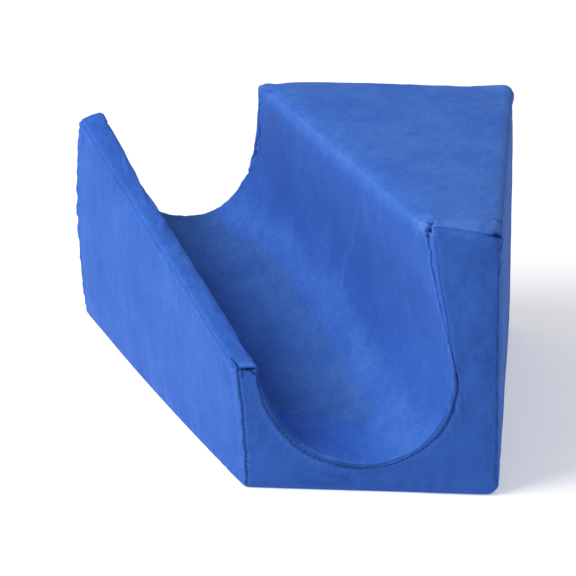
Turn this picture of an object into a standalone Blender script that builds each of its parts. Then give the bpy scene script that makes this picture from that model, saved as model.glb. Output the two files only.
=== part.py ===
"""Hip abduction pillow: a foam block in a sewn cloth cover, with a sloping trough for one leg.

The block is a wedge in plan, narrow in front and wide behind. A U-shaped trough runs along its slanted
left side and rises towards the back. The wall on the left is low and thin and climbs with the trough; the
wall on the right is tall, flat on top and widens backwards, and keeps the other leg away.

Units are metres, +Z is up, +Y runs from the front end to the back end. The origin is the centre of the
base. The section at any depth is a bent band: it runs from the low wall's top, round under the trough, to
the tall wall's top. "along" counts cells round the band, "across" counts them from the trough to the
outside, and "deep" counts them from front to back.
"""

import math

import bmesh
import bpy
import numpy as np

# Sizes of the block between its sewn edges
BACK_WIDTH = 0.400
FRONT_WIDTH = 0.214
DEPTH = 0.320
TALL_WALL_HEIGHT = 0.242
RIGHT_X = BACK_WIDTH / 2

# Sizes that run straight from the front end to the back end, as (front, back)
LEFT_X = (RIGHT_X - FRONT_WIDTH, -BACK_WIDTH / 2)
LOW_WALL_HEIGHT = (0.114, 0.201)
LOW_WALL_THICKNESS = (0.021, 0.023)
LOW_WALL_LEAN = (0.0055, -0.0025)
LOW_WALL_BOW = (0.000, 0.005)
TROUGH_CENTRE_X = (0.082, -0.106)
TROUGH_HALF_WIDTH = (0.081, 0.073)
TROUGH_SQUARENESS = (2.10, 2.25)
TROUGH_FLOOR = (0.024, 0.104)
TROUGH_SPRING = (0.115, 0.214)
TALL_WALL_LEAN = (0.0215, 0.000)

# How each wall's lean gathers towards its top
LOW_LEAN_POWER = 2.2
TALL_LEAN_POWER = 1.25
OUTLINE_SAMPLES = 240

# Softness: how far the faces swell in their middles, and how deep the cover sinks beside a seam
END_CROWN = 0.003
SIDE_CROWN = 0.0030
TOP_CROWN = 0.0022
CROWN_POWER = 0.7
MIDDLE = 0.5
BASE_EDGE_BOW = 0.004
SEAM_GROOVE = 0.0026

# Cells next to an edge, as distances from it, or as shares of a thin wall
EDGE_BAND = (0.0045, 0.0115)
THIN_SHARE = (0.20, 0.38)
CORNER_BAND = 0.012

# A rounded edge stays off its sharp corner by this share of its radius, both ways
ROUNDING_SHARE = 1 - 1 / math.sqrt(2)
LOW_TOP_RADIUS = 0.004
TALL_TOP_RADIUS = 0.009
RIGHT_BASE_RADIUS = 0.006
RIGHT_END_RADIUS = 0.006

# The inner edge of the low wall's top turns up at its back end. The seams pull the tall wall's front
# corners, the inner one up and the outer one down, within the first share of the depth
LOW_WALL_PEAK = 0.009
PEAK_POWER = 7
CORNER_PULL = 0.006
CORNER_DROP_SHARE = 0.5
PULL_SHARE = 0.08

# Cells of the coarse cage: two edge cells at each end of a run, and these many between. A wall's outer side
# has one edge cell at its base, so it has four points more than these cells
ALONG_LEFT_CELLS = 3
ALONG_BASE_CELLS = 6
ALONG_RIGHT_CELLS = 4
ACROSS_CELLS = 2
DEEP_CELLS = 7
EDGE_CELLS = 4
LEFT_POINTS = ALONG_LEFT_CELLS + 4
RIGHT_POINTS = ALONG_RIGHT_CELLS + 4
SMOOTHING_LEVELS = 1

COVER_BLUE = (0.055, 0.155, 0.560, 1.0)
COVER_ROUGHNESS = 0.92


def between(pair, share):
    """The value that runs straight from pair[0] in front to pair[1] behind."""
    return pair[0] + (pair[1] - pair[0]) * share


def edge_stations(length, cells):
    """Places along a run: 0, two close to its start, even steps, two close to its end, and its length."""
    first, second = (min(band, length * thin) for band, thin in zip(EDGE_BAND, THIN_SHARE))
    middle = np.linspace(second, length - second, cells + 1)
    return np.concatenate([[0.0, first], middle, [length - first, length]])


def base_stations(height, cells):
    """Heights down a wall's outer side: its top, two below it, even steps, one near the base, and 0."""
    down = edge_stations(height, cells)[: cells + 2]
    return height - np.append(down, [height - CORNER_BAND, height])


def at_distances(outline, distances):
    """Points at the given distances along a polyline."""
    steps = np.linalg.norm(np.diff(outline, axis=0), axis=1)
    walked = np.concatenate([[0.0], np.cumsum(steps)])
    return np.stack([np.interp(distances, walked, outline[:, axis]) for axis in range(2)], axis=1)


def low_wall_outside(share, height):
    """x of the low wall's outer side: it leans out as h^power in front, and bows as 4h(1 - h) behind.

    Along its base it bows by 4s(1 - s) from front to back.
    """
    h = height / between(LOW_WALL_HEIGHT, share)
    lean = between(LOW_WALL_LEAN, share) * h**LOW_LEAN_POWER
    bow = between(LOW_WALL_BOW, share) * 4 * h * (1 - h) + BASE_EDGE_BOW * 4 * share * (1 - share) * (1 - h)
    return between(LEFT_X, share) - lean - bow


def trough_outline(share):
    """The inner side of the band, from the low wall's top edge round to the tall wall's, as (x, z) points.

    Below the spring line x = centre + half width * c and z = spring - drop * s, where c and s are the
    cosine and sine of an angle raised to 2 / squareness. Above it the tall wall leans in by lean * h^power.
    """
    centre = between(TROUGH_CENTRE_X, share)
    half = between(TROUGH_HALF_WIDTH, share)
    spring = between(TROUGH_SPRING, share)
    drop = spring - between(TROUGH_FLOOR, share)
    angle = np.linspace(-math.pi, 0.0, OUTLINE_SAMPLES)
    power = 2.0 / between(TROUGH_SQUARENESS, share)
    x = centre + half * np.sign(np.cos(angle)) * np.abs(np.cos(angle)) ** power
    z = spring - drop * np.abs(np.sin(angle)) ** power
    rise = np.linspace(0.0, 1.0, OUTLINE_SAMPLES // 4)[1:]
    x = np.append(x, centre + half - between(TALL_WALL_LEAN, share) * rise**TALL_LEAN_POWER)
    z = np.append(z, spring + (TALL_WALL_HEIGHT - spring) * rise)
    low_top = between(LOW_WALL_HEIGHT, share)
    kept = (z < low_top - EDGE_BAND[0]) | (x > centre)
    start_x = low_wall_outside(share, low_top) + between(LOW_WALL_THICKNESS, share)
    start = [start_x, low_top + LOW_WALL_PEAK * share**PEAK_POWER]
    return np.vstack([start, np.stack([x[kept], z[kept]], axis=1)])


def outside_stations(share):
    """The outer side of the band, down the left side, along the base and up the right side, as (x, z)."""
    down = base_stations(between(LOW_WALL_HEIGHT, share), ALONG_LEFT_CELLS)
    left = np.stack([low_wall_outside(share, down), down], axis=1)
    base_x = np.linspace(left[-1, 0] + CORNER_BAND, RIGHT_X - CORNER_BAND, ALONG_BASE_CELLS + 1)
    base = np.stack([base_x, np.zeros_like(base_x)], axis=1)
    up = base_stations(TALL_WALL_HEIGHT, ALONG_RIGHT_CELLS)[::-1]
    right = np.stack([np.full_like(up, RIGHT_X), up], axis=1)
    right[0] += ROUNDING_SHARE * RIGHT_BASE_RADIUS * np.array([-1, 1])
    return np.vstack([left, base, right])


def inside_stations(share, count):
    """Points on the trough's outline, close together at its two top edges and even between them."""
    outline = trough_outline(share)
    length = np.linalg.norm(np.diff(outline, axis=0), axis=1).sum()
    return at_distances(outline, edge_stations(length, count - 1 - EDGE_CELLS))


def crown(a, b):
    """1 in the middle of a face and 0 at its edges, for a and b from 0 to 1 across it."""
    return (1 - (2 * a - 1) ** 2) ** CROWN_POWER * (1 - (2 * b - 1) ** 2) ** CROWN_POWER


def shares(count, sideways=False):
    """Even steps from 0 to 1, down a column or along a row."""
    steps = np.linspace(0.0, 1.0, count)
    return steps[None, :] if sideways else steps[:, None]


def cage_points():
    """The whole band as an array of points [along, across, deep], with its soft faces and sewn edges."""
    deep = edge_stations(DEPTH, DEEP_CELLS)
    sections = []
    for distance in deep:
        share = distance / DEPTH
        outer = outside_stations(share)
        inner = inside_stations(share, len(outer))
        gap = np.linalg.norm(outer - inner, axis=1)
        across = np.stack([edge_stations(width, ACROSS_CELLS) / width for width in gap])
        flat = inner[:, None] + (outer - inner)[:, None] * across[..., None]
        y = np.full(flat.shape[:2], distance - DEPTH / 2)
        sections.append(np.stack([flat[..., 0], y, flat[..., 1]], axis=-1))
    points = np.stack(sections, axis=2)
    swell_faces(points, deep[None, :] / DEPTH)
    round_edges(points)
    pull_corners(points, deep / DEPTH)
    sink_seams(points)
    return points


def swell_faces(points, deep_share):
    """Crowns the two ends, the left and right sides, and the two wall tops, which swell right to their ends.

    The base stays flat.
    """
    end = END_CROWN * crown(shares(points.shape[0]), shares(points.shape[1], sideways=True))
    points[:, :, 0, 1] -= end
    points[:, :, -1, 1] += end
    points[:LEFT_POINTS, -1, :, 0] -= SIDE_CROWN * crown(shares(LEFT_POINTS), deep_share)
    points[-RIGHT_POINTS:, -1, :, 0] += SIDE_CROWN * crown(shares(RIGHT_POINTS), deep_share)
    points[[0, -1], :, :, 2] += TOP_CROWN * crown(shares(points.shape[1]), MIDDLE)


def round_edges(points):
    """Moves the edge rows of the rounded edges in, along both of the faces that meet there."""
    for along, across, radius, side in (
        (0, 0, LOW_TOP_RADIUS, -1),
        (-1, 0, TALL_TOP_RADIUS, 1),
        (-1, -1, TALL_TOP_RADIUS, -1),
    ):
        points[along, across, :, 0] += side * ROUNDING_SHARE * radius
        points[along, across, :, 2] -= ROUNDING_SHARE * radius
    for end, inward in ((0, 1), (-1, -1)):
        points[-RIGHT_POINTS:, -1, end, 0] -= ROUNDING_SHARE * RIGHT_END_RADIUS
        points[-RIGHT_POINTS:, -1, end, 1] += inward * ROUNDING_SHARE * RIGHT_END_RADIUS
        points[-1, :-1, end, 1] += inward * ROUNDING_SHARE * TALL_TOP_RADIUS


def pull_corners(points, deep_share):
    """Lifts the tall wall's front inner corner and lowers its outer one, fading out over the pull share."""
    fade = np.clip(1 - deep_share / PULL_SHARE, 0, 1)
    tilt = np.linspace(1.0, -CORNER_DROP_SHARE, points.shape[1])[:, None]
    points[-1, :, :, 2] += CORNER_PULL * tilt * fade
    points[-2, :, :, 2] += CORNER_PULL * tilt * fade


def sink_seams(points):
    """Sinks the cover one row inside the edges where two panels are sewn together."""
    for end, inward in ((0, 1), (-1, -1)):
        sunk = np.zeros(points.shape[:2])
        sunk[1:-1, 1] = 1.0
        sunk[1 : LEFT_POINTS - 1, -2] = 1.0
        sunk[[1, -2], 1:-1] = 1.0
        points[:, :, end, 1] += inward * SEAM_GROOVE * sunk
    points[0, -2, 1:-1, 2] -= SEAM_GROOVE


def cage_mesh(name, points):
    """A cube cut into cells, whose corners are then moved to the band's points."""
    cells = [count - 1 for count in points.shape[:3]]
    shape = bmesh.new()
    bmesh.ops.create_cube(shape, size=1.0)
    for axis, count in enumerate(cells):
        edges = [edge for edge in shape.edges if runs_along(edge, axis)]
        bmesh.ops.subdivide_edges(shape, edges=edges, cuts=count - 1, use_grid_fill=True)
    for vertex in shape.verts:
        index = [round((value + 0.5) * count) for value, count in zip(vertex.co, cells)]
        vertex.co = points[tuple(index)]
    bmesh.ops.recalc_face_normals(shape, faces=shape.faces)
    mesh = bpy.data.meshes.new(name)
    shape.to_mesh(mesh)
    shape.free()
    return mesh


def runs_along(edge, axis):
    """True for an edge of the cell cube that lies along that axis."""
    step = edge.verts[1].co - edge.verts[0].co
    return abs(step[axis]) > 0.9 * step.length


def cover_cloth():
    """Short-pile blue cloth."""
    material = bpy.data.materials.new("cover_cloth")
    material.use_nodes = True
    shader = material.node_tree.nodes["Principled BSDF"]
    shader.inputs["Base Color"].default_value = COVER_BLUE
    shader.inputs["Roughness"].default_value = COVER_ROUGHNESS
    shader.inputs["Metallic"].default_value = 0.0
    material.diffuse_color = COVER_BLUE
    return material


def pillow(collection):
    """The filled block in its cover: the cage, smoothed to rounded edges."""
    mesh = cage_mesh("pillow", cage_points())
    mesh.shade_smooth()
    mesh.materials.append(cover_cloth())
    block = bpy.data.objects.new("pillow", mesh)
    collection.objects.link(block)
    smooth = block.modifiers.new("rounding", "SUBSURF")
    smooth.levels = SMOOTHING_LEVELS
    smooth.render_levels = SMOOTHING_LEVELS
    return block


def main():
    for obj in list(bpy.data.objects):
        bpy.data.objects.remove(obj)
    collection = bpy.data.collections.new("hip_abduction_pillow")
    bpy.context.scene.collection.children.link(collection)
    pillow(collection)


main()
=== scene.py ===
"""Looks of the hip abduction pillow: its sewn velour cover, the stitching, and the studio round it.

Metres, +Z up, +Y from the front end to the back end, origin at the centre of the base. The cover is one
closed surface on a grid of three counts: "along" the bent band from the low wall's top round under the
trough to the tall wall's top, "across" from the trough to the outside, and "deep" from front to back.
"""

import math

import bpy
import numpy as np
from mathutils import Matrix, Vector


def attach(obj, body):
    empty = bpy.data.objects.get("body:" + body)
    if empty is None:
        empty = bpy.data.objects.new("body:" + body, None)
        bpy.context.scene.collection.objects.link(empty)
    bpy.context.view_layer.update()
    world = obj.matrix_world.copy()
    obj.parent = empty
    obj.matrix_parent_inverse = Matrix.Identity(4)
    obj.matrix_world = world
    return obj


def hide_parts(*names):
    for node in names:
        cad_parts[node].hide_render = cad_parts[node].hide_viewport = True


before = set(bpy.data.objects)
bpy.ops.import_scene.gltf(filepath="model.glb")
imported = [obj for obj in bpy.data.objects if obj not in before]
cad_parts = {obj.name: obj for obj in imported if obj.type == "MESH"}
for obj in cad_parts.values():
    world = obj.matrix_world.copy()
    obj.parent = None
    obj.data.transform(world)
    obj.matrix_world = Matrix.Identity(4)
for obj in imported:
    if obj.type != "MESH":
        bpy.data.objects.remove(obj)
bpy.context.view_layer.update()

# Sizes of the block between its sewn edges
BACK_WIDTH = 0.400
FRONT_WIDTH = 0.214
DEPTH = 0.320
TALL_WALL_HEIGHT = 0.242
RIGHT_X = BACK_WIDTH / 2

# Sizes that run straight from the front end to the back end, as (front, back)
LEFT_X = (RIGHT_X - FRONT_WIDTH, -BACK_WIDTH / 2)
LOW_WALL_HEIGHT = (0.114, 0.201)
LOW_WALL_THICKNESS = (0.021, 0.023)
LOW_WALL_LEAN = (0.0055, -0.0025)
LOW_WALL_BOW = (0.000, 0.005)
TROUGH_CENTRE_X = (0.082, -0.106)
TROUGH_HALF_WIDTH = (0.081, 0.073)
TROUGH_SQUARENESS = (2.10, 2.25)
TROUGH_FLOOR = (0.024, 0.104)
TROUGH_SPRING = (0.115, 0.214)
TALL_WALL_LEAN = (0.0215, 0.000)
LOW_LEAN_POWER = 2.2
TALL_LEAN_POWER = 1.25
LOW_TOP_CLEARANCE = 0.012
OUTLINE_SAMPLES = 500

# Softness of the block
END_CROWN = 0.0016
SIDE_CROWN = -0.0006
TOP_CROWN = 0.0012
CROWN_POWER = 0.7
CROWN_REACH = 0.030
BASE_EDGE_BOW = 0.004
LOW_WALL_PEAK = 0.009
PEAK_POWER = 7
CORNER_PULL = 0.006
CORNER_DROP_SHARE = 0.5
CORNER_REACH = 0.014

# Radii of the edges: most are sewn, and softer ones run on the walls' tops and down the right side
SEWN_RADIUS = 0.0040
TALL_TOP_RADIUS = 0.0095
LOW_TOP_RADIUS = 0.0058
RIGHT_RADIUS = 0.0080
LEFT_BASE_RADIUS = 0.0035
BASE_RADIUS = 0.0022

# Where the softer edges of the tops give way to sewn ones, as (from, to) distances
TALL_SOFT_BELOW_TOP = (0.050, 0.015)
TALL_SOFT_FROM_TROUGH = (0.040, 0.015)
LOW_SOFT_BELOW_TOP = (0.030, 0.010)

# Where the right side's softer edge begins and is full: past the base corner along the band, and across
RIGHT_SOFT_ALONG = (-0.04, 0.02)
RIGHT_SOFT_ACROSS = (0.3, 0.8)

# Cells of the cover's grid
LEFT_CELLS = 54
BASE_CELLS = 70
RIGHT_CELLS = 66
ALONG_CELLS = LEFT_CELLS + BASE_CELLS + RIGHT_CELLS
ACROSS_CELLS = 44
DEEP_CELLS = 160

# The cloth that swells between the seams
CLOTH_SETTINGS = {
    "quality": 5, "mass": 0.10, "tension_stiffness": 12, "compression_stiffness": 12, "shear_stiffness": 4,
    "bending_stiffness": 0.4, "use_pressure": True, "uniform_pressure_force": 4.0, "shrink_min": -0.010,
}
CLOTH_FRAMES = 20
CLOTH_CAP = 0.0024
HELD_REACH = (0.002, 0.012)

# The stitches, and the channel, rolled edges and puckers of a seam
STITCH_PITCH = 0.0050
STITCH_LENGTH = 0.0034
STITCH_RADIUS = 0.00045
STITCH_RISE = 0.0001
STITCH_SIDES = 6
STITCH_SIZES = (0.80, 1.10)
STITCH_TURN = 0.10
STITCH_SHIFT = 0.00022
CHANNEL_DEPTH = 0.0018
CHANNEL_WIDTH = 0.0011
ROLL_HEIGHT = 0.0009
ROLL_WIDTH = 0.0015
ROLL_AWAY = 0.0027
PUCKER_HEIGHT = 0.0009
PUCKER_REACH = 0.0060
PUCKER_SIZE = 0.0046
PATCH_SIZE = 0.030
SEAM_WANDER = 0.0005
WANDER_SIZE = 0.012

# The seams along the outer edges, as (inset, strength), and how far from its edge each may reach
LEFT_SEAM = (0.0026, 1.0)
RIGHT_SEAM = (0.0016, 0.5)
TALL_TOP_SEAM = (0.0020, 0.32)
LOW_TOP_SEAM = (0.0012, 0.42)
RIGHT_TOP_SEAM = (0.0030, 0.4)
WIDE_REACH = 0.03
SIDE_REACH = 0.02

# The seam beside the U-shaped edge: its strength, and how far out it lies by share of the outline
U_STRENGTH = 0.55
U_STRENGTH_RISE = 0.75
U_RISE_SHARES = (0.50, 0.70)
SEAM_SHARES = (0.0, 0.06, 0.15, 0.30, 0.45, 0.62, 0.70, 0.77, 0.84, 0.93, 1.0)
SEAM_PLACES = (0.0010, 0.0012, 0.0006, 0.0010, 0.0036, 0.0036, 0.0012, -0.0028, -0.0076, -0.0072, -0.0050)

# The lip that the trough's panel forms along the U-shaped edge: its height by share of the outline
LIP_SHARES = (0.0, 0.05, 0.13, 0.28, 0.42, 0.60, 0.75, 1.0)
LIP_HEIGHTS = (0.0, 0.0004, 0.0036, 0.0042, 0.0012, 0.0008, 0.0012, 0.0006)
LIP_REACH = 0.0085
LIP_UNEVENNESS = ((0.25, 0.013, 41),)

# Slight unevenness of the cloth, as layers of (height, size, seed)
CLOTH_UNEVENNESS = ((0.0004, 0.055, 3), (0.00012, 0.016, 4))

# The depth or height from which a fold gets its full painted shade or painted highlight, and the most
# painted shade that a crease can get
FULL_FOLD = 0.0012
MOST_CREASED = 2.0

# Fine ribs where the trough's panel is eased in
GATHER_WALK = 0.218
GATHER_CLIMB = 0.06
GATHER_WIDTH = 0.022
GATHER_REACH = 0.115
GATHER_PITCH = 0.0031
GATHER_WANDER = 9.0

# The painted lit band in the trough by share of the outline: where it starts in front, its climb a metre,
# and its end
BAND_START = 0.47
BAND_CLIMB = 0.70
BAND_END = 0.61
BAND_WIDTH = 0.055
BAND_WANDER = ((0.020, 0.05, 31), (0.010, 0.02, 32))

# Where the other painted light and shade begin and are full, from the band, along the outline, or from the
# front
WALL_FROM_BAND = (0.03, 0.08)
WALL_SHARES = (0.97, 0.93)
CREST_SHARES = (0.955, 0.985)
SHADOW_FROM_BAND = (-0.035, -0.075)
SHADOW_FROM_FRONT = (0.040, 0.062)
SHADOW_SHARES = (0.05, 0.14)
# How far the end faces are tinted greyer as painted shade
ENDS_PAINTED_SHADE = 0.35

# How much painted light and shade lighten or darken each place: the lit band, the tall wall's inner side,
# the highlight
# # on its top inner edge, the low wall's shadow, the end faces and the tall wall's top
LIGHT_AND_SHADE_TONES = {"band": 0.12, "wall": -0.05, "edge_highlight": 0.16, "dull": 0.04, "ends": -0.11, "top": 0.09}

# Single folds and puckers, as (path of points, height, width): creases are below 0 and raised lips above
FOLDS = (
    # The sharp fold at the front end of the tall wall's inner top edge, with the puffed corner beside it
    (((0.1390, -0.1490, 0.2450), (0.1440, -0.1530, 0.2455), (0.1425, -0.1555, 0.2395)), -0.0030, 0.0010),
    (((0.1425, -0.1555, 0.2395), (0.1400, -0.1520, 0.2390)), -0.0018, 0.0009),
    (((0.1475, -0.1530, 0.2460), (0.1460, -0.1575, 0.2410), (0.1485, -0.1590, 0.2385)), 0.0017, 0.0017),
    (((0.1340, -0.1410, 0.2390), (0.1370, -0.1455, 0.2410)), 0.0032, 0.0070),
    (
        (
            (0.1280, -0.1300, 0.2360), (0.1320, -0.1310, 0.2425),
            (0.1400, -0.1370, 0.2450), (0.1460, -0.1460, 0.2455),
        ),
        0.0010, 0.0017,
    ),
    (((0.1310, -0.1350, 0.2350), (0.1340, -0.1370, 0.2420), (0.1390, -0.1420, 0.2440)), -0.0008, 0.0012),
    (((0.1330, -0.1420, 0.2330), (0.1390, -0.1520, 0.2340), (0.1425, -0.1550, 0.2345)), -0.0010, 0.0012),
    # The puffed back corner of the tall wall
    (((0.1850, 0.1500, 0.2430), (0.1930, 0.1550, 0.2400)), 0.0026, 0.0120),
    # The pucker at the right end of the tall wall's front edge, and the folds above and below it
    (((0.1880, -0.1590, 0.2395), (0.1940, -0.1580, 0.2385), (0.1990, -0.1550, 0.2370)), -0.0011, 0.0013),
    (((0.1945, -0.1560, 0.2380), (0.1990, -0.1540, 0.2360)), -0.0017, 0.0018),
    (((0.1620, -0.1560, 0.2440), (0.1800, -0.1560, 0.2440)), 0.0020, 0.0120),
    (((0.1945, -0.1350, 0.2430), (0.2000, -0.1360, 0.2380)), -0.0014, 0.0012),
    (((0.1935, -0.1410, 0.2430), (0.2000, -0.1420, 0.2390)), 0.0010, 0.0022),
    (((0.2000, -0.1530, 0.2310), (0.1985, -0.1570, 0.2265)), -0.0016, 0.0011),
    (((0.1995, -0.1560, 0.2140), (0.1970, -0.1590, 0.2030)), -0.0012, 0.0011),
    (((0.1975, -0.1580, 0.2140), (0.1950, -0.1600, 0.1970)), 0.0009, 0.0014),
    # The flap at the low wall's front top corner
    (((-0.0230, -0.1500, 0.1170), (-0.0195, -0.1550, 0.1165), (-0.0165, -0.1590, 0.1140)), -0.0014, 0.0010),
    (((-0.0160, -0.1605, 0.1120), (-0.0085, -0.1605, 0.1125)), -0.0018, 0.0011),
    (((-0.0085, -0.1605, 0.1125), (-0.0020, -0.1600, 0.1135)), -0.0030, 0.0012),
    (((-0.0070, -0.1605, 0.1125), (-0.0020, -0.1605, 0.1080)), -0.0016, 0.0009),
    (((-0.0130, -0.1570, 0.1150), (-0.0050, -0.1570, 0.1155), (0.0010, -0.1580, 0.1140)), 0.0014, 0.0018),
    (((0.0000, -0.1590, 0.1070), (0.0010, -0.1590, 0.0970)), -0.0014, 0.0010),
    (((0.0025, -0.1570, 0.1040), (0.0040, -0.1570, 0.0910)), -0.0008, 0.0010),
    (((-0.0120, -0.1600, 0.1120), (-0.0125, -0.1600, 0.1050)), -0.0009, 0.0011),
    # Soft pulls on the tall wall's inner side
    (((0.078, -0.033, 0.211), (0.063, 0.000, 0.140), (0.058, -0.003, 0.113)), 0.0006, 0.0030),
    (((0.054, 0.000, 0.108), (0.069, -0.027, 0.097)), 0.0007, 0.0026),
    # Small creases at the back end of the tall wall's inner top edge
    (((-0.0280, 0.1500, 0.2370), (-0.0160, 0.1380, 0.2400)), -0.0007, 0.0012),
    (((-0.0240, 0.1560, 0.2400), (-0.0100, 0.1430, 0.2410)), 0.0007, 0.0016),
)

# Colours of the velour's pile, with the tints of its painted shade (greyer in the low wall's shadow and on
# the end
# # faces, navy in deep creases), and of the thread
VELOUR_DARK = (0.012, 0.050, 0.270)
VELOUR_BODY = (0.032, 0.118, 0.490)
VELOUR_LIGHT = (0.088, 0.232, 0.640)
PAINTED_SHADE_TINT = (1.03, 0.93, 0.80)
CREASE_SHADE_TINT = (0.20, 0.25, 0.38)
THREAD_DARK = (0.004, 0.012, 0.055)
THREAD_LIGHT = (0.0144, 0.0432, 0.198)
PAPER_DARK = (0.90, 0.90, 0.90)
PAPER_LIGHT = (0.94, 0.94, 0.94)

# How far each pattern and measure moves the velour's tone
TONE_SHARES = {
    "patches": 0.42, "streaks": 0.24, "mottle": 0.30, "pile": 0.50,
    # Painted light: ribs paint light and shade on the gathered ribs, pale a highlight on raised rolls and
    # lips, crease shade in creases
    "ribs": 0.10, "pale": 0.32, "crease": 0.50,
}

# The studio: a floor that glows a little, a white surround, and one soft light at the upper left
FLOOR_SIZE = 12.0
FLOOR_GLOW = 0.30
SURROUND_STRENGTH = 0.47
KEY_PLACE = (-1.55, -0.75, 2.1)
KEY_AIM = (0.0, 0.0, 0.1)
KEY_SIZE = 1.3
KEY_WATTS = 56

# The camera: where it stands, how it is turned, and how long its lens is
CAMERA_PLACE = Vector((0.2462, -2.2020, 1.1737))
CAMERA_YAW = math.radians(-6.13)
CAMERA_PITCH = math.radians(25.64)
CAMERA_ROLL = math.radians(-1.16)
CAMERA_LENS = 175.0


def between(pair, share):
    """The value that runs straight from pair[0] in front to pair[1] behind."""
    return pair[0] + (pair[1] - pair[0]) * share


def spread(count, start=1.0, end=1.0, reach=0.06):
    """Steps from 0 to 1, closer together near both ends.

    The lines' density is 1 in the middle and rises by start and end as bells of that reach. Each line
    stands where an equal share of the whole density lies before it.
    """
    place = np.linspace(0.0, 1.0, 2001)
    density = 1 + start * bell(place, reach) + end * bell(1 - place, reach)
    total = np.concatenate([[0.0], np.cumsum((density[1:] + density[:-1]) / 2)])
    return np.interp(np.linspace(0.0, total[-1], count + 1), total, place)


def smooth(value, low, high):
    """0 below low and 1 above high, with the soft step 3x^2 - 2x^3 between them."""
    x = np.clip((value - low) / (high - low), 0.0, 1.0)
    return x * x * (3 - 2 * x)


def bell(distance, width):
    """A bell curve, exp(-(distance / width)^2)."""
    return np.exp(-((distance / width) ** 2))


def crown(a, b):
    """1 in the middle of a face and 0 at its edges, for a and b from 0 to 1 across it."""
    flat = np.clip(1 - (2 * a - 1) ** 2, 0, 1) * np.clip(1 - (2 * b - 1) ** 2, 0, 1)
    return flat**CROWN_POWER


def lattice_noise(points, size, seed):
    """Soft random heights from -1 to 1.

    They are random values on a cubic lattice of that size, blended by soft steps.
    """
    count = 32
    values = np.random.default_rng(seed).uniform(-1, 1, (count, count, count))
    scaled = points / size + count * 8
    cell = np.floor(scaled).astype(int)
    part = scaled - cell
    part = part * part * (3 - 2 * part)
    total = np.zeros(len(points))
    for corner in np.ndindex(2, 2, 2):
        share = np.prod(np.where(corner, part, 1 - part), axis=1)
        x, y, z = ((cell + corner) % count).T
        total += share * values[x, y, z]
    return total


def layered_noise(points, layers):
    """The sum of soft random heights in layers of (height, size, seed)."""
    return sum(height * lattice_noise(points, size, seed) for height, size, seed in layers)


def low_wall_outside(share, height):
    """x of the low wall's outer side: it leans out as h^power in front, and bows as 4h(1 - h) behind.

    Along its base it bows by 4s(1 - s) from front to back.
    """
    h = height / between(LOW_WALL_HEIGHT, share)
    lean = between(LOW_WALL_LEAN, share) * h**LOW_LEAN_POWER
    bow = between(LOW_WALL_BOW, share) * 4 * h * (1 - h) + BASE_EDGE_BOW * 4 * share * (1 - share) * (1 - h)
    return between(LEFT_X, share) - lean - bow


def trough_outline(share):
    """The inner side of the band at one depth, from the low wall's top edge to the tall wall's, as (x, z).

    Below the spring line x = centre + half width * c and z = spring - drop * s, where c and s are the
    cosine and sine of an angle raised to 2 / squareness. Above it the tall wall leans in by lean * h^power.
    """
    centre = between(TROUGH_CENTRE_X, share)
    half = between(TROUGH_HALF_WIDTH, share)
    spring = between(TROUGH_SPRING, share)
    drop = spring - between(TROUGH_FLOOR, share)
    angle = np.linspace(-math.pi, 0.0, OUTLINE_SAMPLES)
    power = 2.0 / between(TROUGH_SQUARENESS, share)
    x = centre + half * np.sign(np.cos(angle)) * np.abs(np.cos(angle)) ** power
    z = spring - drop * np.abs(np.sin(angle)) ** power
    rise = np.linspace(0.0, 1.0, OUTLINE_SAMPLES // 4)[1:]
    x = np.append(x, centre + half - between(TALL_WALL_LEAN, share) * rise**TALL_LEAN_POWER)
    z = np.append(z, spring + (TALL_WALL_HEIGHT - spring) * rise)
    low_top = between(LOW_WALL_HEIGHT, share)
    kept = (z < low_top - LOW_TOP_CLEARANCE) | (x > centre)
    start_x = low_wall_outside(share, low_top) + between(LOW_WALL_THICKNESS, share)
    start = [start_x, low_top + LOW_WALL_PEAK * share**PEAK_POWER]
    return np.vstack([start, np.stack([x[kept], z[kept]], axis=1)])


def outside_outline(share):
    """The outer side at one depth: down the left side, along the base and up the right side, as (x, z)."""
    down = between(LOW_WALL_HEIGHT, share) * (1 - spread(LEFT_CELLS))
    left = np.stack([low_wall_outside(share, down), down], axis=1)
    base = left[-1] + (np.array([RIGHT_X, 0.0]) - left[-1]) * spread(BASE_CELLS)[:, None]
    up = TALL_WALL_HEIGHT * spread(RIGHT_CELLS, end=1.6)
    right = np.stack([np.full_like(up, RIGHT_X), up], axis=1)
    round_corner(left[::-1], base, LEFT_BASE_RADIUS)
    round_corner(base[::-1], right, RIGHT_RADIUS)
    return np.vstack([left, base[1:], right[1:]])


def round_corner(first, second, radius):
    """Rounds the corner where two straight runs start, moving both runs' points onto one arc.

    A point at distance d < r from the corner goes to the angle 45 + 45 d / r degrees of a quarter circle.
    """
    runs = first, second
    starts = [run[0].copy() for run in runs]
    ways = [(run[-1] - run[0]) / np.linalg.norm(run[-1] - run[0]) for run in runs]
    for run, start, way, other in zip(runs, starts, ways, reversed(ways)):
        far = np.linalg.norm(run - start, axis=1)
        angle = np.radians(45 + 45 * np.clip(far / radius, 0, 1))[:, None]
        bent = start + way * radius * (1 - np.cos(angle)) + other * radius * (1 - np.sin(angle))
        near = (far < radius)[:, None]
        run[:] = np.where(near, bent, run)


def walked(outline):
    """The distance walked along a polyline to each of its points."""
    return np.concatenate([[0.0], np.cumsum(np.linalg.norm(np.diff(outline, axis=0), axis=1))])


def resampled(outline, shares):
    """Points at the given shares of a polyline's length."""
    distance = walked(outline)
    wanted = shares * distance[-1]
    return np.stack([np.interp(wanted, distance, each) for each in outline.T], axis=1)


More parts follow.
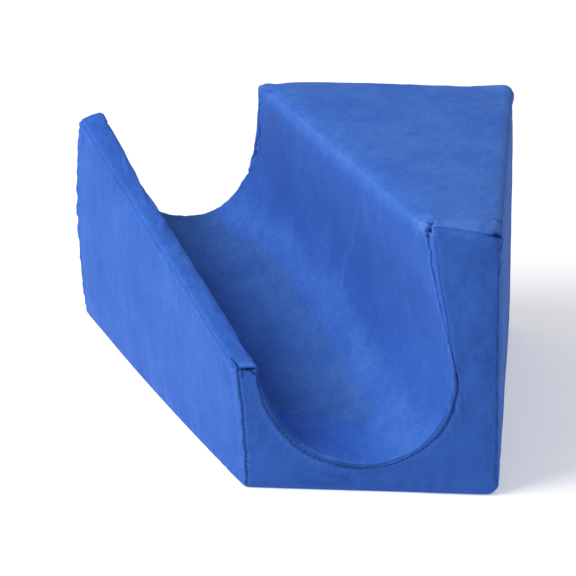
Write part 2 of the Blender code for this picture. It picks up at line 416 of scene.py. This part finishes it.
class Cover:
    """The grid's outer vertices, with the measures that seams, folds and colours are worked out from."""

    def __init__(self, cells):
        along, across, deep = cells
        self.cells = cells
        depth = spread(deep, start=2.0, end=1.4)
        shares = spread(along, start=0.8, end=1.8, reach=0.04)
        inner = np.stack([resampled(trough_outline(v), shares) for v in depth], axis=1)
        outer = np.stack([resampled_outside(v, along) for v in depth], axis=1)
        shell = np.zeros([count + 1 for count in cells], dtype=bool)
        for axis in range(3):
            face = [slice(None)] * 3
            for face[axis] in (0, -1):
                shell[tuple(face)] = True
        self.i, self.j, self.k = np.nonzero(shell)
        self.number = np.full(shell.shape, -1)
        self.number[shell] = np.arange(len(self.i))
        self.measure(inner, outer, spread(across, start=1.6, end=1.2), depth)

    def measure(self, inner, outer, across, depth):
        """Places each vertex on its line from the trough to the outside, and measures its distances."""
        i, j, k = self.i, self.j, self.k
        start, end = inner[i, k], outer[i, k]
        t = across[j]
        gap = np.linalg.norm(end - start, axis=1)
        flat = start + (end - start) * t[:, None]
        self.share_along = i / self.cells[0]
        self.t, self.v = t, depth[k]
        self.points = np.stack([flat[:, 0], (self.v - 0.5) * DEPTH, flat[:, 1]], axis=1)
        ways = (end - start) / gap[:, None]
        self.out_way = np.stack([ways[:, 0], np.zeros(len(i)), ways[:, 1]], axis=1)
        square_in, square_out = squareness(inner, ways, i, k), squareness(outer, ways, i, k)
        inner_walk = np.stack([walked(inner[:, each]) for each in range(inner.shape[1])], axis=1)
        outer_walk = np.stack([walked(outer[:, each]) for each in range(outer.shape[1])], axis=1)
        self.walk_in, self.walk_out = inner_walk[i, k], outer_walk[i, k]
        total_in, total_out = inner_walk[-1, k], outer_walk[-1, k]
        self.from_low = (1 - t) * self.walk_in + t * self.walk_out
        self.from_tall = (1 - t) * (total_in - self.walk_in) + t * (total_out - self.walk_out)
        self.from_trough, self.from_outside = t * gap * square_in, (1 - t) * gap * square_out
        self.from_front, self.from_back = self.v * DEPTH, (1 - self.v) * DEPTH
        self.to_tall_in = total_in - self.walk_in

    def face(self, name):
        """True at the vertices of a named face."""
        along, across, deep = self.cells
        left, right = self.left_corner(), self.right_corner()
        return {
            "trough": self.j == 0,
            "left": (self.j == across) & (self.i <= left),
            "base": (self.j == across) & (self.i >= left) & (self.i <= right),
            "right": (self.j == across) & (self.i >= right),
            "front": self.k == 0,
            "back": self.k == deep,
            "low top": self.i == 0,
            "tall top": self.i == along,
        }[name]

    def left_corner(self):
        """The count along the band at the left base corner."""
        return round(self.cells[0] * LEFT_CELLS / ALONG_CELLS)

    def right_corner(self):
        """The count along the band at the right base corner."""
        return round(self.cells[0] * (LEFT_CELLS + BASE_CELLS) / ALONG_CELLS)

    def quads(self):
        """The four corners of every cell of the six outer faces, turned to face outwards."""
        found = []
        for axis in range(3):
            for side, turned in ((0, axis != 1), (-1, axis == 1)):
                grid = np.take(self.number, side, axis=axis)
                corners = [grid[:-1, :-1], grid[1:, :-1], grid[1:, 1:], grid[:-1, 1:]]
                quad = np.stack([corner.ravel() for corner in corners], axis=1)
                found.append(quad[:, ::-1] if turned else quad)
        return np.vstack(found)


def squareness(outlines, ways, i, k):
    """The sine of the angle between each vertex's line across and the outline that it starts from."""
    tangent = np.gradient(outlines, axis=0)[i, k]
    tangent /= np.linalg.norm(tangent, axis=1)[:, None]
    return np.maximum(np.abs(tangent[:, 0] * ways[:, 1] - tangent[:, 1] * ways[:, 0]), 0.3)


def resampled_outside(share, along):
    """The outer outline with the grid's own count of cells, its corners kept on whole counts."""
    outline = outside_outline(share)
    if along == ALONG_CELLS:
        return outline
    wanted = np.linspace(0, ALONG_CELLS, along + 1)
    lines = np.arange(ALONG_CELLS + 1)
    return np.stack([np.interp(wanted, lines, each) for each in outline.T], axis=1)


def soften(cover):
    """The block's soft form: crowned faces, then edges rounded by radial projection.

    Each crown fades away from its face as a bell. Near an edge a point whose offsets from the faces are
    o1, o2, o3 moves to r - r w / |w|, where w is r - o for each offset under r.
    """
    points = cover.points
    near = {name: bell(distance, CROWN_REACH) for name, distance in (
        ("front", cover.from_front), ("back", cover.from_back),
        ("outside", cover.from_outside), ("low", cover.from_low), ("tall", cover.from_tall),
    )}
    end = END_CROWN * crown(cover.share_along, cover.t)
    points[:, 1] += end * (near["back"] - near["front"])
    left_share = cover.left_corner() / cover.cells[0]
    right_share = cover.right_corner() / cover.cells[0]
    along_left = np.clip(cover.share_along / left_share, 0, 1)
    along_right = np.clip((cover.share_along - right_share) / (1 - right_share), 0, 1)
    left = SIDE_CROWN * crown(along_left, cover.v)
    right = SIDE_CROWN * crown(along_right, cover.v)
    points[:, 0] += (right - left) * near["outside"]
    points[:, 2] += TOP_CROWN * crown(cover.t, 0.5) * (near["low"] + near["tall"])
    pull = CORNER_PULL * (1 - (1 + CORNER_DROP_SHARE) * cover.t)
    corner = bell(cover.from_front, CORNER_REACH) * bell(cover.from_tall, CORNER_REACH)
    points[:, 2] += pull * corner

    tall = smooth(cover.from_tall, *TALL_SOFT_BELOW_TOP)
    rightward = smooth(cover.share_along - right_share, *RIGHT_SOFT_ALONG)
    rightward = rightward * smooth(cover.t, *RIGHT_SOFT_ACROSS)
    based = (cover.share_along > left_share) & (cover.share_along < right_share)
    radius = np.where(based, BASE_RADIUS, SEWN_RADIUS)
    radius = radius + (RIGHT_RADIUS - radius) * rightward
    radius = radius + (TALL_TOP_RADIUS - radius) * tall * smooth(cover.from_trough, *TALL_SOFT_FROM_TROUGH)
    low = smooth(cover.from_low, *LOW_SOFT_BELOW_TOP) * (4 * cover.v * (1 - cover.v)) ** 0.5
    radius = radius + (LOW_TOP_RADIUS - radius) * low
    down = np.tile([0.0, 0.0, -1.0], (len(points), 1))
    back = np.tile([0.0, 1.0, 0.0], (len(points), 1))
    offsets = (
        (cover.from_front, back), (cover.from_back, -back),
        (cover.from_trough, cover.out_way), (cover.from_outside, -cover.out_way),
        (cover.from_low, down), (cover.from_tall, down),
    )
    short = [np.clip(radius - offset, 0, None) for offset, way in offsets]
    length = np.sqrt(sum(w * w for w in short))
    keep = 1 - radius / np.maximum(length, 1e-9)
    for w, (offset, way) in zip(short, offsets):
        points += way * (w * np.where(length > radius, keep, 0.0))[:, None]


def held_share(cover):
    """How firmly the cloth is held: fully at the base and the sewn edges, and not at all further away."""
    end = np.minimum(cover.from_front, cover.from_back)
    side = np.minimum(cover.from_trough, cover.from_outside)
    top = np.minimum(cover.from_low, cover.from_tall)
    at_end = np.maximum(end, np.minimum(side, top))
    at_top = np.maximum(cover.from_outside, top)
    nearest = np.minimum(at_end, at_top)
    return np.where(cover.face("base"), 1.0, 1.0 - smooth(nearest, *HELD_REACH))


def swollen(cover):
    """How far each outer vertex moves when the cover, cut a little too large, is sewn tight and puffed out.

    Every second line of the grid makes a coarse cover. Blender's cloth runs on it for a few frames with
    pressure inside and no gravity. Its moves are capped, and new lines are put between the coarse ones
    with the weights -1, 9, 9, -1 over 16.
    """
    coarse = Cover([count // 2 for count in cover.cells])
    soften(coarse)
    trial = mesh_from("swelling_trial", coarse.points, coarse.quads())
    held = trial.vertex_groups.new(name="held")
    for index, weight in enumerate(held_share(coarse)):
        held.add([index], float(weight), "REPLACE")
    cloth = trial.modifiers.new("swelling", "CLOTH")
    for name, value in CLOTH_SETTINGS.items():
        setattr(cloth.settings, name, value)
    cloth.settings.vertex_group_mass = "held"
    cloth.settings.effector_weights.gravity = 0.0
    cloth.point_cache.frame_start = 1
    cloth.point_cache.frame_end = CLOTH_FRAMES
    for number in range(1, CLOTH_FRAMES + 1):
        bpy.context.scene.frame_set(number)
    shape = trial.evaluated_get(bpy.context.evaluated_depsgraph_get()).to_mesh()
    puffed = np.empty(len(shape.vertices) * 3, dtype=np.float32)
    shape.vertices.foreach_get("co", puffed)
    move = puffed.reshape(-1, 3) - coarse.points
    bpy.data.objects.remove(trial)
    bpy.context.scene.frame_set(1)
    far = np.linalg.norm(move, axis=1)[:, None]
    move *= CLOTH_CAP / (CLOTH_CAP + far)
    field = np.zeros((*[count + 1 for count in coarse.cells], 3))
    field[coarse.i, coarse.j, coarse.k] = move
    for axis in range(3):
        field = doubled(field, axis)
    return field[cover.i, cover.j, cover.k]


def doubled(field, axis):
    """The field with a new line between each two along an axis."""
    count = field.shape[axis]
    first = np.arange(count - 1)

    def line(index):
        return np.take(field, np.clip(index, 0, count - 1), axis=axis)

    middle = (9 * (line(first) + line(first + 1)) - line(first - 1) - line(first + 2)) / 16
    shape = list(field.shape)
    shape[axis] = 2 * count - 1
    result = np.empty(shape)
    lines = [slice(None)] * field.ndim
    lines[axis] = slice(0, None, 2)
    result[tuple(lines)] = field
    lines[axis] = slice(1, None, 2)
    result[tuple(lines)] = middle
    return result


def mesh_from(name, points, quads):
    """A smooth-shaded mesh object of those points and four-cornered faces."""
    mesh = bpy.data.meshes.new(name)
    mesh.vertices.add(len(points))
    mesh.vertices.foreach_set("co", points.astype(np.float32).ravel())
    mesh.loops.add(quads.size)
    mesh.loops.foreach_set("vertex_index", quads.ravel().astype(np.int32))
    mesh.polygons.add(len(quads))
    mesh.polygons.foreach_set("loop_start", np.arange(0, quads.size, 4, dtype=np.int32))
    mesh.update(calc_edges=True)
    mesh.validate()
    mesh.shade_smooth()
    piece = bpy.data.objects.new(name, mesh)
    bpy.context.scene.collection.objects.link(piece)
    return piece


def normals_of(points, quads):
    """Outward vertex normals: the sum of each face's cross product of its diagonals."""
    a, b, c, d = (points[quads[:, corner]] for corner in range(4))
    normal = np.cross(c - a, d - b)
    total = np.zeros_like(points)
    for corner in range(4):
        np.add.at(total, quads[:, corner], normal)
    return total / np.maximum(np.linalg.norm(total, axis=1), 1e-12)[:, None]


class Relief:
    """Heights of the cloth above the soft block, with the painted shade of its creases and the painted
    highlight of its raised rolls and lips.
    """

    def __init__(self, cover):
        self.cover = cover
        self.height = layered_noise(cover.points, CLOTH_UNEVENNESS)
        self.crease = np.zeros(len(cover.points))
        self.pale = np.zeros(len(cover.points))

    def seam(self, where, offset, run, strength):
        """A sewn channel along offset = 0: a bell across it, a rolled edge on each side, and puckers.

        The puckers are random waves along the run that die out away from the seam.
        """
        line = np.stack([run, np.zeros_like(run), np.zeros_like(run)], axis=1)
        waves = lattice_noise(line, PUCKER_SIZE, 11) + 0.5 * lattice_noise(line, PUCKER_SIZE / 2, 12)
        patch = 0.6 + 0.4 * lattice_noise(line, PATCH_SIZE, 13)
        offset = offset + SEAM_WANDER * lattice_noise(line, WANDER_SIZE, 14)
        channel = bell(offset, CHANNEL_WIDTH) * (0.7 + 0.3 * np.cos(2 * np.pi * run / STITCH_PITCH))
        roll = bell(offset + ROLL_AWAY, ROLL_WIDTH) * (0.8 + 0.35 * waves)
        far_roll = bell(offset - ROLL_AWAY, ROLL_WIDTH) * (0.7 - 0.35 * waves)
        pucker = waves * patch * bell(offset, PUCKER_REACH)
        raised = ROLL_HEIGHT * roll + 0.5 * ROLL_HEIGHT * far_roll + PUCKER_HEIGHT * pucker
        self.height += where * strength * (raised - CHANNEL_DEPTH * channel)
        # Painted shade in the channel, and painted highlight on the rolled edges and raised puckers
        self.crease += where * strength * channel * (0.75 + 0.25 * patch)
        self.pale += where * strength * (0.6 * roll + 0.35 * far_roll + 0.3 * np.clip(pucker, 0, 1))

    def lip(self):
        """The raised lip of the U-shaped edge: a bell in the distance from the edge, uneven along it."""
        cover = self.cover
        share = walk_share(cover)
        high = np.interp(share, LIP_SHARES, LIP_HEIGHTS)
        line = np.stack([cover.walk_in, cover.v * DEPTH, np.zeros_like(share)], axis=1)
        high = high * (1 + layered_noise(line, LIP_UNEVENNESS))
        ends = cover.face("front") | cover.face("back")
        from_end = np.minimum(cover.from_front, cover.from_back)
        self.height += np.where(ends, 0.5 * bell(cover.from_trough, 0.5 * LIP_REACH), 0.0) * high
        self.height += np.where(cover.face("trough"), bell(from_end, LIP_REACH), 0.0) * high

    def fold(self, path, height, width):
        """A crease (height below 0) or a raised lip along a path of points, fading out at its ends."""
        points = self.cover.points
        path = np.array(path)
        nearest = np.full(len(points), 1.0)
        for start, end in zip(path[:-1], path[1:]):
            step = end - start
            share = np.clip((points - start) @ step / (step @ step), 0, 1)
            distance = np.linalg.norm(points - start - share[:, None] * step, axis=1)
            nearest = np.minimum(nearest, distance)
        near = bell(nearest, width)
        self.height += height * near
        # A crease gets painted shade and a raised lip a painted highlight
        if height < 0:
            self.crease += near * min(MOST_CREASED, -height / FULL_FOLD)
        else:
            self.pale += 0.6 * near * min(1.0, height / FULL_FOLD)


def seam_place(cover):
    """How far the front or back seam lies from the U-shaped edge, out on the end face or into the trough.

    It wanders: just outside the edge on the low wall, further out under the trough, and over the edge
    into the trough high on the tall wall.
    """
    return np.interp(walk_share(cover), SEAM_SHARES, SEAM_PLACES)


def seams(cover):
    """Every seam: where on the cover, distance from the sewn line, distance along it, strength, stitched.

    Distances across an edge count out on the end face and back into the panel beside it.
    """
    front, back = cover.face("front"), cover.face("back")
    trough, left, right = cover.face("trough"), cover.face("left"), cover.face("right")
    tall_top = cover.face("tall top")
    share = walk_share(cover)
    u_strength = U_STRENGTH + U_STRENGTH_RISE * smooth(share, *U_RISE_SHARES)
    found = []
    for end, from_end in ((front, cover.from_front), (back, cover.from_back)):
        edge = np.where(end, cover.from_trough, -from_end)
        near = (end & (cover.from_trough < WIDE_REACH)) | (trough & (from_end < WIDE_REACH))
        found.append((near, edge - seam_place(cover), cover.walk_in, u_strength, True))
        edge = np.where(end, cover.from_outside, -from_end)
        inset, strength = LEFT_SEAM
        near = (end & (cover.i < cover.left_corner())) | (left & (from_end < SIDE_REACH))
        found.append((near, edge - inset, cover.walk_out, strength, True))
        inset, strength = RIGHT_SEAM
        near = (end & (cover.i > cover.right_corner())) | (right & (from_end < SIDE_REACH))
        found.append((near, edge - inset, cover.walk_out, strength, False))
        edge = np.where(end, cover.from_tall, -from_end)
        inset, strength = TALL_TOP_SEAM
        near = (end | tall_top) & (np.abs(edge) < WIDE_REACH)
        found.append((near, edge - inset, cover.points[:, 0], strength, False))
    edge = np.where(left, cover.from_low, -cover.from_outside)
    inset, strength = LOW_TOP_SEAM
    near = (left | cover.face("low top")) & (np.abs(edge) < SIDE_REACH)
    found.append((near, edge - inset, cover.points[:, 1], strength, False))
    inset, strength = RIGHT_TOP_SEAM
    near = right & (cover.from_tall < WIDE_REACH)
    found.append((near, cover.from_tall - inset, cover.points[:, 1], strength, False))
    return found


def walk_share(cover):
    """Each vertex's share of the way along the trough's outline, from the low wall's top on."""
    return cover.walk_in / (cover.walk_in + cover.to_tall_in)


def relief(cover):
    """All seams and folds of the cover, and the lip of its U-shaped edge. The base stays flat."""
    made = Relief(cover)
    for near, offset, run, strength, stitched in seams(cover):
        made.seam(near, offset, run, strength)
    made.lip()
    for path, height, width in FOLDS:
        made.fold(path, height, width)
    made.height = np.where(cover.face("base"), 0.0, made.height)
    return made


def build_cover():
    """The velour cover as one closed, crowned surface with its seams and gathers."""
    cover = Cover((ALONG_CELLS, ACROSS_CELLS, DEEP_CELLS))
    soften(cover)
    cover.points += swollen(cover)
    quads = cover.quads()
    made = relief(cover)
    points = cover.points + normals_of(cover.points, quads) * made.height[:, None]
    points[:, 2] = np.maximum(points[:, 2], 0.0)
    piece = mesh_from("velour_cover", points, quads)
    # Painted shade in creases and channels, and painted highlight on raised rolls and lips
    paint(piece, "crease", np.clip(made.crease, 0, MOST_CREASED))
    paint(piece, "pale", np.clip(made.pale, 0, 1))
    paint(piece, "walk", cover.walk_in)
    paint(piece, "gather", gather_share(cover))
    # Painted light and shade over the panels, and the greyer painted shade of the low wall's shadow and the
    # end faces
    light, dull = light_and_shade_tones(cover)
    paint(piece, "nap", light)
    paint(piece, "dull", dull)
    return piece, cover, points


def paint(piece, name, values):
    """Stores one value for each point of a piece, for its material to read."""
    layer = piece.data.attributes.new(name, "FLOAT", "POINT")
    layer.data.foreach_set("value", values.astype(np.float32))


def gather_share(cover):
    """Where the trough's panel is eased into the front seam in fine ribs, low on the tall wall."""
    place = bell(cover.walk_in - GATHER_WALK - GATHER_CLIMB * cover.from_front, GATHER_WIDTH)
    patch = np.clip(0.6 + 0.7 * lattice_noise(cover.points, 0.018, 22), 0, 1)
    reach = smooth(cover.from_front, GATHER_REACH, 0.35 * GATHER_REACH)
    return cover.face("trough") * place * patch * reach


def light_and_shade_tones(cover):
    """How much painted light and shade each place gets, as two lists: a tone, and a greyer painted shade.

    In the trough a lit band, a bell across the outline, is painted lighter. It climbs from the floor in
    front to the tall wall behind. Between it and the low wall the low wall's shadow is painted greyer. The
    tall wall's inner side is painted darker and its top inner edge lighter as a highlight. The end faces
    are painted darker and greyer, and the tall wall's top lighter.
    """
    share = walk_share(cover)
    trough = cover.face("trough")
    ends = cover.face("front") | cover.face("back")
    wander = layered_noise(cover.points, BAND_WANDER)
    band = np.minimum(BAND_START + BAND_CLIMB * cover.from_front, BAND_END) + wander
    from_band = share - band
    wall = smooth(from_band, *WALL_FROM_BAND) * smooth(share, *WALL_SHARES)
    edge_highlight = smooth(share, *CREST_SHARES)
    dull = smooth(from_band, *SHADOW_FROM_BAND) * smooth(cover.from_front + wander, *SHADOW_FROM_FRONT)
    dull = dull * smooth(share, *SHADOW_SHARES)
    # Painted light and shade in the trough: the lit band, the darker tall wall, the highlight on its top
    # inner edge, the low wall's shadow
    light = LIGHT_AND_SHADE_TONES["band"] * bell(from_band, BAND_WIDTH) + LIGHT_AND_SHADE_TONES["wall"] * wall
    light = light + LIGHT_AND_SHADE_TONES["edge_highlight"] * edge_highlight + LIGHT_AND_SHADE_TONES["dull"] * dull
    # The end faces painted darker and the tall wall's top painted lighter
    light = trough * light + LIGHT_AND_SHADE_TONES["ends"] * ends + LIGHT_AND_SHADE_TONES["top"] * cover.face("tall top")
    return light, trough * dull + ENDS_PAINTED_SHADE * ends


def traced(points, normals, quads, near, offset, run):
    """The sewn line of a seam as points one stitch apart, with the surface's normals beside them.

    Every grid edge on which the distance from the line changes sign gives one point. They are averaged
    in steps of the distance along the seam.
    """
    edges = np.vstack([quads[:, [corner, (corner + 1) % 4]] for corner in range(4)])
    a, b = edges[near[edges].all(axis=1)].T
    crossing = offset[a] * offset[b] < 0
    a, b = a[crossing], b[crossing]
    share = (offset[a] / (offset[a] - offset[b]))[:, None]
    place = points[a] + (points[b] - points[a]) * share
    upward = normals[a] + (normals[b] - normals[a]) * share
    along = run[a] + (run[b] - run[a]) * share[:, 0]
    step = np.round((along - along.min()) / STITCH_PITCH).astype(int)
    count = np.bincount(step)
    used = count > 0

    def mean(values):
        sums = np.stack([np.bincount(step, each) for each in values.T], axis=1)
        return sums[used] / count[used][:, None]

    return mean(place), mean(upward)


def stitch_shape():
    """One stitch lying along x: rings of a thin rod that swells in the middle and dips at its ends."""
    lengths = np.array([-0.5, -0.40, -0.15, 0.15, 0.40, 0.5])
    radii = np.array([0.35, 0.85, 1.0, 1.0, 0.85, 0.35]) * STITCH_RADIUS
    angle = np.arange(STITCH_SIDES) * 2 * np.pi / STITCH_SIDES
    dip = -1.2 * STITCH_RADIUS * (2 * lengths) ** 4
    x = np.repeat(lengths * STITCH_LENGTH, STITCH_SIDES)
    y = (radii[:, None] * np.cos(angle)).ravel()
    z = (radii[:, None] * np.sin(angle) + dip[:, None]).ravel()
    faces = [list(range(STITCH_SIDES))[::-1], list(range(len(x) - STITCH_SIDES, len(x)))]
    for ring in range(len(lengths) - 1):
        for side in range(STITCH_SIDES):
            a, b = ring * STITCH_SIDES + side, ring * STITCH_SIDES + (side + 1) % STITCH_SIDES
            faces.append([a, b, b + STITCH_SIDES, a + STITCH_SIDES])
    return np.stack([x, y, z], axis=1), faces


def build_stitches(cover, points):
    """A short navy stitch on every step of every stitched seam, each turned and shifted a little."""
    quads = cover.quads()
    normals = normals_of(points, quads)
    shape, shape_faces = stitch_shape()
    random = np.random.default_rng(7)
    vertices, faces = [], []
    for near, offset, run, strength, stitched in seams(cover):
        if not stitched:
            continue
        places, upward = traced(points, normals, quads, near, offset, run)
        ahead = np.gradient(places, axis=0)
        for place, up, way in zip(places[1:-1], upward[1:-1], ahead[1:-1]):
            up = up / np.linalg.norm(up)
            way = way - up * (way @ up)
            way = way / np.linalg.norm(way)
            side = np.cross(up, way)
            way = way + side * random.normal(0, STITCH_TURN)
            size = random.uniform(*STITCH_SIZES)
            centre = place + side * random.normal(0, STITCH_SHIFT) + up * STITCH_RISE
            first = len(vertices) * len(shape)
            vertices.append(centre + size * shape @ np.stack([way, side, up]))
            faces.extend([[first + corner for corner in face] for face in shape_faces])
    mesh = bpy.data.meshes.new("seam_stitches")
    mesh.from_pydata(np.vstack(vertices).tolist(), [], faces)
    mesh.shade_smooth()
    piece = bpy.data.objects.new("seam_stitches", mesh)
    bpy.context.scene.collection.objects.link(piece)
    return piece


class Wire:
    """One output of a material's node, on which sums and products build Math nodes."""

    def __init__(self, finish, socket):
        self.finish = finish
        self.socket = socket

    def maths(self, operation, *values, clamp=False):
        """A Math node on this wire and other values or wires."""
        settings = {"operation": operation, "use_clamp": clamp}
        return self.finish.add("ShaderNodeMath", settings, dict(enumerate((self, *values))))

    def __add__(self, other):
        return self.maths("ADD", other)

    def __sub__(self, other):
        return self.maths("SUBTRACT", other)

    def __rsub__(self, other):
        return self * -1.0 + other

    def __mul__(self, other):
        return self.maths("MULTIPLY", other)

    __radd__ = __add__
    __rmul__ = __mul__

    def clamped(self):
        """The same value, kept from 0 to 1."""
        return self.maths("ADD", 0.0, clamp=True)


class Finish:
    """A material under construction, with the one method that adds a node to it."""

    def __init__(self, name):
        self.material = bpy.data.materials.new(name)
        self.material.use_nodes = True
        self.tree = self.material.node_tree
        self.shader = self.tree.nodes["Principled BSDF"]

    def add(self, kind, settings, inputs, output=0):
        """Adds a node: its settings first, then the values or wires of its sockets."""
        node = self.tree.nodes.new(kind)
        for name, value in settings.items():
            if name == "stops":
                self.set_stops(node.color_ramp, value)
            else:
                setattr(node, name, value)
        for name, value in inputs.items():
            self.join(node.inputs[name], value)
        return Wire(self, node.outputs[output])

    def set_stops(self, ramp, stops):
        """Gives a colour ramp its (position, colour) stops."""
        while len(ramp.elements) < len(stops):
            ramp.elements.new(1.0)
        for element, (position, colour) in zip(ramp.elements, stops):
            element.position = position
            element.color = (*colour, 1.0)

    def join(self, socket, value):
        """Links a wire to a socket, or sets the socket's own value."""
        if isinstance(value, Wire):
            self.tree.links.new(value.socket, socket)
        else:
            socket.default_value = value

    def set(self, **values):
        """Sets or links the shader's sockets, named with _ for a space."""
        for name, value in values.items():
            self.join(self.shader.inputs[name.replace("_", " ").title().replace("Ior", "IOR")], value)

    def noise(self, scale, stretch=(1, 1, 1), detail=2.0, roughness=0.5):
        """Noise from 0 to 1 on Object coordinates, with that many features a metre, stretched by axis."""
        place = self.add("ShaderNodeTexCoord", {}, {}, "Object")
        stretched = self.add("ShaderNodeMapping", {}, {"Vector": place, "Scale": stretch})
        inputs = {"Vector": stretched, "Scale": scale, "Detail": detail, "Roughness": roughness}
        return self.add("ShaderNodeTexNoise", {}, inputs)

    def tinted(self, colour, share, tint):
        """The colour multiplied by a tint, as far as the share says."""
        settings = {"data_type": "RGBA", "blend_type": "MULTIPLY"}
        return self.add("ShaderNodeMix", settings, {0: share, 6: colour, 7: (*tint, 1.0)}, 2)

    def attribute(self, name):
        """A value painted on the mesh's points."""
        return self.add("ShaderNodeAttribute", {"attribute_name": name}, {}, "Fac")


def velour():
    """Short-pile blue velour: brushed patches, upright streaks and a fine pile, with painted highlights on
    rolls and painted shade.
    """
    finish = Finish("blue_velour")
    patches = finish.noise(22, detail=3.0, roughness=0.55)
    streaks = finish.noise(80, stretch=(1, 1, 0.25), detail=3.0, roughness=0.6)
    mottle = finish.noise(240, detail=3.0, roughness=0.65)
    pile = finish.noise(800, detail=3.0, roughness=0.7)
    # Painted shade in creases and seam channels, and painted highlight on raised rolls, lips and puckers
    crease = finish.attribute("crease")
    pale = finish.attribute("pale")
    # The gathered ribs lighten and darken the colour as painted light and shade of their folds
    wander = finish.noise(55, detail=2.0) * GATHER_WANDER
    ribs = (finish.attribute("walk") * (2 * math.pi / GATHER_PITCH) + wander).maths("SINE")
    ribs = ribs * finish.attribute("gather")
    tone = 0.5 + (patches - 0.5) * TONE_SHARES["patches"] + (streaks - 0.5) * TONE_SHARES["streaks"]
    tone = tone + (mottle - 0.5) * TONE_SHARES["mottle"] + (pile - 0.5) * TONE_SHARES["pile"]
    # Painted light and shade over the panels and on the ribs, painted highlight on rolls and lips, painted
    # shade in creases
    tone = tone + finish.attribute("nap") + ribs * TONE_SHARES["ribs"] + pale * TONE_SHARES["pale"]
    tone = (tone - crease * TONE_SHARES["crease"]).clamped()
    stops = ((0.0, VELOUR_DARK), (0.5, VELOUR_BODY), (1.0, VELOUR_LIGHT))
    colour = finish.add("ShaderNodeValToRGB", {"stops": stops}, {"Fac": tone})
    # Greyer painted shade in the low wall's shadow and on the end faces, and navy painted shade in deep
    # creases
    colour = finish.tinted(colour, finish.attribute("dull"), PAINTED_SHADE_TINT)
    colour = finish.tinted(colour, (crease * 0.8 - 0.35).clamped(), CREASE_SHADE_TINT)
    height = pile * 0.9 + streaks * 0.3 + mottle * 0.7 + ribs * 0.6
    bump = finish.add("ShaderNodeBump", {}, {"Strength": 0.55, "Distance": 0.0007, "Height": height})
    finish.set(base_color=colour, roughness=0.80 + 0.15 * pile, normal=bump)
    finish.set(sheen_weight=0.22, sheen_roughness=0.40, sheen_tint=(0.30, 0.50, 1.0, 1.0))
    finish.set(specular_ior_level=0.15)
    return finish.material


def thread():
    """Navy sewing thread, a little glossy, with the twist as fine diagonal light and dark."""
    finish = Finish("navy_thread")
    twist = finish.noise(2500, stretch=(1, 1, 0.3))
    stops = ((0.2, THREAD_DARK), (0.8, THREAD_LIGHT))
    colour = finish.add("ShaderNodeValToRGB", {"stops": stops}, {"Fac": twist})
    bump = finish.add("ShaderNodeBump", {}, {"Strength": 0.4, "Distance": 0.0002, "Height": twist})
    finish.set(base_color=colour, roughness=0.55 + 0.2 * twist, normal=bump)
    return finish.material


def paper_white():
    """The pale studio floor."""
    finish = Finish("paper_white")
    grain = finish.noise(30, detail=2.0)
    stops = ((0.0, PAPER_DARK), (1.0, PAPER_LIGHT))
    colour = finish.add("ShaderNodeValToRGB", {"stops": stops}, {"Fac": grain})
    finish.set(base_color=colour, roughness=0.95)
    finish.set(emission_color=(1.0, 1.0, 1.0, 1.0), emission_strength=FLOOR_GLOW)
    return finish.material


def studio():
    """A pale floor, a white surround, one soft key light from the upper left, and the camera."""
    bpy.ops.mesh.primitive_plane_add(size=FLOOR_SIZE, location=(0, 0, 0))
    floor = bpy.context.active_object
    floor.name = "studio_floor"
    floor.data.materials.append(paper_white())

    world = bpy.data.worlds.new("surround")
    world.use_nodes = True
    surround = world.node_tree.nodes["Background"]
    surround.inputs["Color"].default_value = (1.0, 1.0, 1.0, 1.0)
    surround.inputs["Strength"].default_value = SURROUND_STRENGTH
    bpy.context.scene.world = world
    soft_light("key", KEY_PLACE, KEY_SIZE, KEY_WATTS)
    bpy.context.scene.view_settings.view_transform = "Standard"

    ahead = Vector((
        math.sin(CAMERA_YAW) * math.cos(CAMERA_PITCH),
        math.cos(CAMERA_YAW) * math.cos(CAMERA_PITCH),
        -math.sin(CAMERA_PITCH),
    ))
    level = Vector((math.cos(CAMERA_YAW), -math.sin(CAMERA_YAW), 0))
    upright = level.cross(ahead)
    rightward = math.cos(CAMERA_ROLL) * level + math.sin(CAMERA_ROLL) * upright
    upward = math.cos(CAMERA_ROLL) * upright - math.sin(CAMERA_ROLL) * level
    lens = bpy.data.cameras.new("photo_camera")
    lens.sensor_width = 36.0
    lens.lens = CAMERA_LENS
    lens.clip_end = 50.0
    camera = bpy.data.objects.new("photo_camera", lens)
    turn = Matrix((rightward, upward, -ahead)).transposed().to_4x4()
    camera.matrix_world = Matrix.Translation(CAMERA_PLACE) @ turn
    bpy.context.scene.collection.objects.link(camera)
    bpy.context.scene.camera = camera


def soft_light(name, place, size, watts):
    """A square soft light turned to the middle of the pillow."""
    lamp = bpy.data.lights.new(name, "AREA")
    lamp.shape = "SQUARE"
    lamp.size = size
    lamp.energy = watts
    light = bpy.data.objects.new(name, lamp)
    light.location = place
    light.rotation_euler = (Vector(KEY_AIM) - light.location).to_track_quat("-Z", "Y").to_euler()
    bpy.context.scene.collection.objects.link(light)


def main():
    """Builds both pieces, says what each rides on, hides the model's pillow part, and sets up the studio.
    """
    cover_piece, cover, points = build_cover()
    cover_piece.data.materials.append(velour())
    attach(cover_piece, "root")
    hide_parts("pillow")
    stitches = build_stitches(cover, points)
    stitches.data.materials.append(thread())
    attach(stitches, "root")
    studio()


main()
